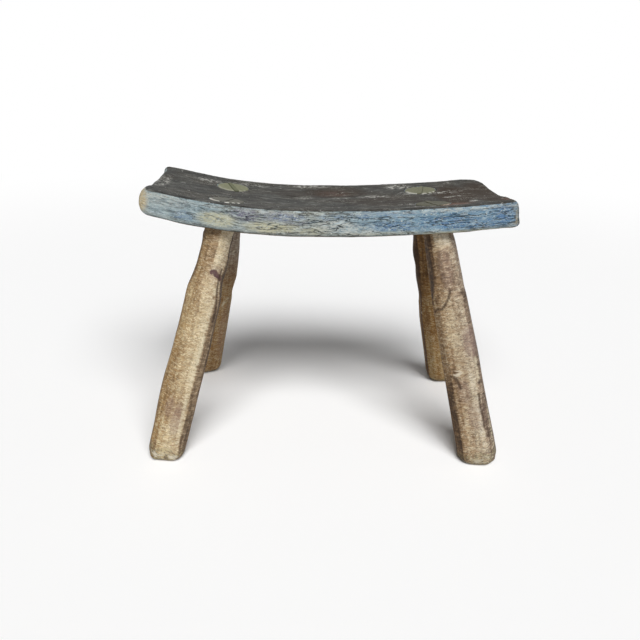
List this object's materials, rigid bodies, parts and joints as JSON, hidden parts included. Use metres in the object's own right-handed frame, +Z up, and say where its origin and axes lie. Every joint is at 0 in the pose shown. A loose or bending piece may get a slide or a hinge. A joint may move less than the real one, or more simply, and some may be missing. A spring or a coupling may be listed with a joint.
{
  "type": "stool",
  "caption": "Low rustic stool: a bent, dished plank with worn blue paint on splayed hewn legs, held by wedged through tenons.",
  "frame": {"origin": "middle of the stool's bounding box on the floor", "axes": "+X to the sitter's left along the plank, which is the right of the picture, +Y to the back, +Z up"},
  "size_m": [0.4366, 0.2894, 0.3184],
  "materials": {
    "seat_wood": "worn blue paint over greyed wood on the edges, dark worn patina on the top",
    "leg_wood": "bare hewn wood, weathered and waxed by handling",
    "wedge_wood": "dark stained end grain"
  },
  "bodies": {
    "root": {"seat": "seat_wood", "leg_front_left": "leg_wood", "leg_front_right": "leg_wood", "leg_rear_left": "leg_wood", "leg_rear_right": "leg_wood", "wedge_front_left": "wedge_wood", "wedge_front_right": "wedge_wood", "wedge_rear_left": "wedge_wood", "wedge_rear_right": "wedge_wood"}
  },
  "joints": []
}
